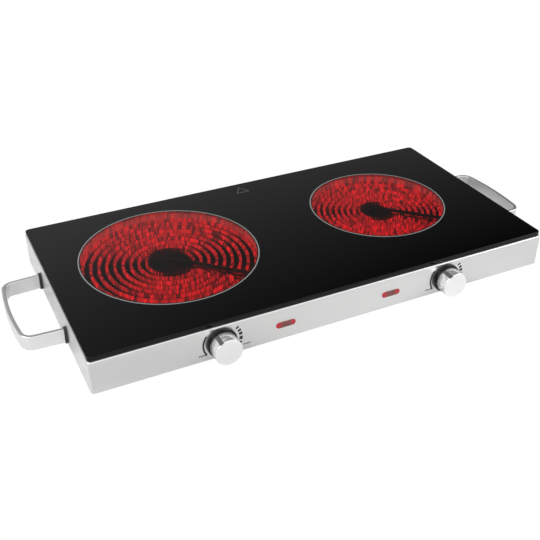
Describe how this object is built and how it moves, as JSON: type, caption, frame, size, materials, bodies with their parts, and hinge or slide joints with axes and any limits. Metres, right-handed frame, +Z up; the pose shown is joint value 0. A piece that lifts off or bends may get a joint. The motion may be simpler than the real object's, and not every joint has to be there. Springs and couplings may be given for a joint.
{
  "type": "hot plate burner",
  "caption": "Low countertop hot plate: a black glass-ceramic top with two round radiant zones on a brushed steel housing, turning front knobs and end handles.",
  "frame": {"origin": "on the floor, under the middle of the whole object, handles, knobs and gland included", "axes": "+X to the object's right seen from the front, +Y to the rear, +Z up; the knobs face -Y"},
  "size_m": [0.6378, 0.2948, 0.0482],
  "materials": {
    "glass": "polished black glass-ceramic, clear only over the two zones",
    "seal": "matt silicone bead",
    "housing": "fine brushed",
    "base": "plain zinc-coated sheet",
    "fastener": "plain zinc-plated",
    "foot": "matt",
    "handle": "satin",
    "spacer": "matt black",
    "cap": "turned and satin polished",
    "skirt": "gloss black",
    "pointer": "dark grey inlay",
    "shaft": "turned",
    "regulator": "moulded",
    "blade": "stamped",
    "lens": "translucent red",
    "lamp_body": "moulded",
    "bulb": "small gas lamp",
    "pan": "aluminised pressed sheet",
    "insulation": "pressed insulation, matt",
    "ribbon": "folded heating strip, glowing",
    "limiter": "ceramic tube",
    "switch": "glazed",
    "terminal": "glazed",
    "spring": "spring steel",
    "block": "moulded",
    "clamp": "turned",
    "gland": "moulded black",
    "live_wire": "silicone sleeved",
    "heater_wire": "silicone sleeved",
    "lamp_wire": "silicone sleeved",
    "earth_wire": "silicone sleeved"
  },
  "bodies": {
    "housing": {"glass_top": "glass", "glass_seal": "seal", "housing_shell": "housing", "base_plate": "base", "base_screws": "fastener", "front_left_foot": "foot", "front_right_foot": "foot", "rear_left_foot": "foot", "rear_right_foot": "foot", "foot_screws": "fastener", "left_handle": "handle", "right_handle": "handle", "left_handle_spacers": "spacer", "right_handle_spacers": "spacer", "handle_screws": "fastener", "left_regulator_body": "regulator", "right_regulator_body": "regulator", "left_regulator_cover": "regulator", "right_regulator_cover": "regulator", "left_regulator_tabs": "blade", "right_regulator_tabs": "blade", "regulator_nuts": "fastener", "left_lamp_lens": "lens", "right_lamp_lens": "lens", "left_lamp_body": "lamp_body", "right_lamp_body": "lamp_body", "left_lamp_bulb": "bulb", "right_lamp_bulb": "bulb", "left_heater_pan": "pan", "right_heater_pan": "pan", "left_heater_base": "insulation", "right_heater_base": "insulation", "left_heater_rim": "insulation", "right_heater_rim": "insulation", "left_heater_ribbon": "ribbon", "right_heater_ribbon": "ribbon", "left_limiter_rod": "limiter", "right_limiter_rod": "limiter", "left_limiter_switch": "switch", "right_limiter_switch": "switch", "left_heater_terminals": "terminal", "right_heater_terminals": "terminal", "heater_springs": "spring", "terminal_block": "block", "terminal_clamps": "clamp", "earth_stud": "clamp", "cord_gland": "gland", "gland_nut": "gland", "supply_wires": "live_wire", "heater_wires": "heater_wire", "lamp_wires": "lamp_wire", "earth_wire": "earth_wire"},
    "left_knob": {"left_knob_cap": "cap", "left_knob_skirt": "skirt", "left_knob_pointer": "pointer", "left_regulator_shaft": "shaft"},
    "right_knob": {"right_knob_cap": "cap", "right_knob_skirt": "skirt", "right_knob_pointer": "pointer", "right_regulator_shaft": "shaft"}
  },
  "joints": [
    {"name": "left_knob_turn", "type": "hinge", "parent": "housing", "child": "left_knob", "pos_m": [-0.136, -0.133, 0.0239], "axis": [0, 1, 0], "range_deg": [-95, 155]},
    {"name": "right_knob_turn", "type": "hinge", "parent": "housing", "child": "right_knob", "pos_m": [0.136, -0.133, 0.0239], "axis": [0, 1, 0], "range_deg": [-95, 155]}
  ]
}
